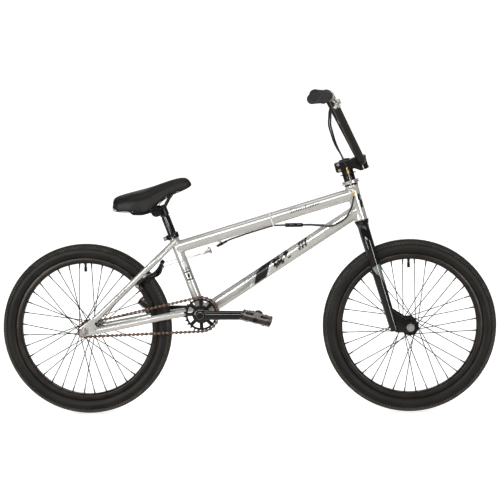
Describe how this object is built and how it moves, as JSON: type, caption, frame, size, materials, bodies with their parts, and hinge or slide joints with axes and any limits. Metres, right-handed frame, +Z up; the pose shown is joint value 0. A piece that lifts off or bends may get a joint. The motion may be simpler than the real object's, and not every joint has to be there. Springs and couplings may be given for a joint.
{
  "type": "bmx bicycle",
  "caption": "Small-wheeled stunt bicycle with a straight tubular frame, high crossbar handlebar, rear rim brake worked through a cable detangler, low padded saddle and platform pedals.",
  "frame": {"origin": "on the ground, midway between the two tyre contact points, in the frame's centre plane", "axes": "+X forward, +Y to the rider's left (the side away from the chain), +Z up"},
  "size_m": [1.4627, 0.7177, 0.9481],
  "materials": {
    "frame_paint": "pearl silver paint, gloss",
    "black_paint": "black paint, gloss",
    "black_alloy": "black anodised, satin",
    "steel": "bare or zinc-plated steel, satin",
    "chain_steel": "brown-tinted steel links, oiled",
    "tyre_rubber": "dark rubber, matte",
    "grip_rubber": "ribbed rubber, matte",
    "pad_rubber": "brake block rubber, matte",
    "saddle_cover": "dark synthetic leather over foam, matte",
    "housing_plastic": "black cable housing, satin",
    "pedal_plastic": "grey-brown moulded plastic, matte",
    "bearing_steel": "ground bearing steel"
  },
  "bodies": {
    "frame": {"head_tube": "frame_paint", "top_tube": "frame_paint", "down_tube": "frame_paint", "seat_tube": "frame_paint", "bottom_bracket_shell": "frame_paint", "chainstay_right": "frame_paint", "chainstay_left": "frame_paint", "seatstay_right": "frame_paint", "seatstay_left": "frame_paint", "seat_clamp": "black_alloy", "headset_cup_upper": "black_alloy", "headset_cup_lower": "black_alloy", "bottom_bracket_bearings": "bearing_steel", "rear_axle": "steel", "chain": "chain_steel", "lower_brake_cable": "housing_plastic", "cable_stop": "frame_paint"},
    "rear_wheel": {"rear_tyre": "tyre_rubber", "rear_rim": "black_alloy", "rear_spokes": "black_alloy", "rear_hub": "black_alloy"},
    "cog": {"rear_cog": "steel"},
    "steering": {"fork_steerer": "black_paint", "fork_leg_right": "black_paint", "fork_leg_left": "black_paint", "stem_body": "black_alloy", "stem_faceplate": "black_alloy", "handlebar": "black_paint", "crossbar": "black_paint", "grip_right": "grip_rubber", "grip_left": "grip_rubber", "brake_lever_bracket": "black_alloy", "gyro_sleeve": "black_alloy", "gyro_top_plate": "black_alloy", "upper_brake_cable": "housing_plastic", "front_axle": "steel"},
    "front_wheel": {"front_tyre": "tyre_rubber", "front_rim": "black_alloy", "front_spokes": "black_alloy", "front_hub": "black_alloy"},
    "crank": {"crank_spindle": "steel", "crank_arm_right": "black_paint", "crank_arm_left": "black_paint", "chainring": "black_alloy", "pedal_axle_right": "steel", "pedal_axle_left": "steel"},
    "right_pedal": {"pedal_right": "pedal_plastic"},
    "left_pedal": {"pedal_left": "pedal_plastic"},
    "upper_gyro_ring": {"gyro_upper_ring": "black_alloy"},
    "lower_gyro_ring": {"gyro_lower_ring": "steel"},
    "hanger": {"cable_hanger": "steel"},
    "lever": {"brake_lever": "steel"},
    "right_brake_arm": {"brake_arm_right": "black_alloy", "brake_pad_right": "pad_rubber"},
    "left_brake_arm": {"brake_arm_left": "black_alloy", "brake_pad_left": "pad_rubber"},
    "seat_post_group": {"seat_post": "black_alloy", "saddle_clamp": "black_alloy"},
    "saddle_group": {"saddle_rails": "black_alloy", "saddle": "saddle_cover"}
  },
  "joints": [
    {"name": "steering_turn", "type": "hinge", "parent": "frame", "child": "steering", "pos_m": [0.3282, 0, 0.6174], "axis": [-0.2588, 0, 0.9659], "continuous": true},
    {"name": "front_wheel_spin", "type": "hinge", "parent": "steering", "child": "front_wheel", "pos_m": [0.47752, 0.00298, 0.25398], "axis": [-0.0573, 0.9982, -0.0153], "continuous": true},
    {"name": "rear_wheel_spin", "type": "hinge", "parent": "frame", "child": "rear_wheel", "pos_m": [-0.4776, 0, 0.254], "axis": [0, 1, 0], "continuous": true},
    {"name": "crank_spin", "type": "hinge", "parent": "frame", "child": "crank", "pos_m": [-0.1305, 0, 0.299], "axis": [0, 1, 0], "continuous": true},
    {"name": "cog_spin", "type": "hinge", "parent": "frame", "child": "cog", "pos_m": [-0.4776, 0, 0.254], "axis": [0, 1, 0], "continuous": true},
    {"name": "right_pedal_spin", "type": "hinge", "parent": "crank", "child": "right_pedal", "pos_m": [0.0395, -0.1365, 0.299], "axis": [0, 1, 0], "continuous": true},
    {"name": "left_pedal_spin", "type": "hinge", "parent": "crank", "child": "left_pedal", "pos_m": [-0.3005, 0.1365, 0.299], "axis": [0, 1, 0], "continuous": true},
    {"name": "brake_lever_pull", "type": "hinge", "parent": "steering", "child": "lever", "pos_m": [0.28561, -0.21021, 0.9096], "axis": [-0.5882, 0.1111, -0.8011], "range_deg": [0, 17], "stiffness_Nm_per_rad": 1.5},
    {"name": "upper_gyro_slide", "type": "slide", "parent": "steering", "child": "upper_gyro_ring", "axis": [-0.2588, 0, 0.9659], "range_m": [0, 0.004]},
    {"name": "lower_gyro_slide", "type": "slide", "parent": "frame", "child": "lower_gyro_ring", "axis": [-0.2588, 0, 0.9659], "range_m": [0, 0.004]},
    {"name": "hanger_slide", "type": "slide", "parent": "frame", "child": "hanger", "axis": [0.892, 0, 0.452], "range_m": [0, 0.004]},
    {"name": "right_brake_turn", "type": "hinge", "parent": "frame", "child": "right_brake_arm", "pos_m": [-0.29365, -0.0405, 0.41044], "axis": [0.6845, 0, -0.729], "range_deg": [0, 2.5]},
    {"name": "left_brake_turn", "type": "hinge", "parent": "frame", "child": "left_brake_arm", "pos_m": [-0.28735, 0.0405, 0.40373], "axis": [0.6845, 0, -0.729], "range_deg": [-2.5, 0]},
    {"name": "seat_post_slide", "type": "slide", "parent": "frame", "child": "seat_post_group", "axis": [-0.342, 0, 0.9397], "range_m": [-0.045, 0.06]},
    {"name": "saddle_tilt", "type": "hinge", "parent": "seat_post_group", "child": "saddle_group", "pos_m": [-0.2581, 0, 0.6019], "axis": [0, 1, 0], "range_deg": [-12, 12]}
  ],
  "couplings": [
    {"joint": "cog_spin", "follows": "crank_spin", "ratio": 2.7778},
    {"joint": "upper_gyro_slide", "follows": "brake_lever_pull", "m_per_rad": 0.013468},
    {"joint": "lower_gyro_slide", "follows": "brake_lever_pull", "m_per_rad": 0.013468},
    {"joint": "hanger_slide", "follows": "brake_lever_pull", "m_per_rad": 0.013468},
    {"joint": "right_brake_turn", "follows": "brake_lever_pull", "ratio": 0.147},
    {"joint": "left_brake_turn", "follows": "brake_lever_pull", "ratio": -0.147}
  ]
}
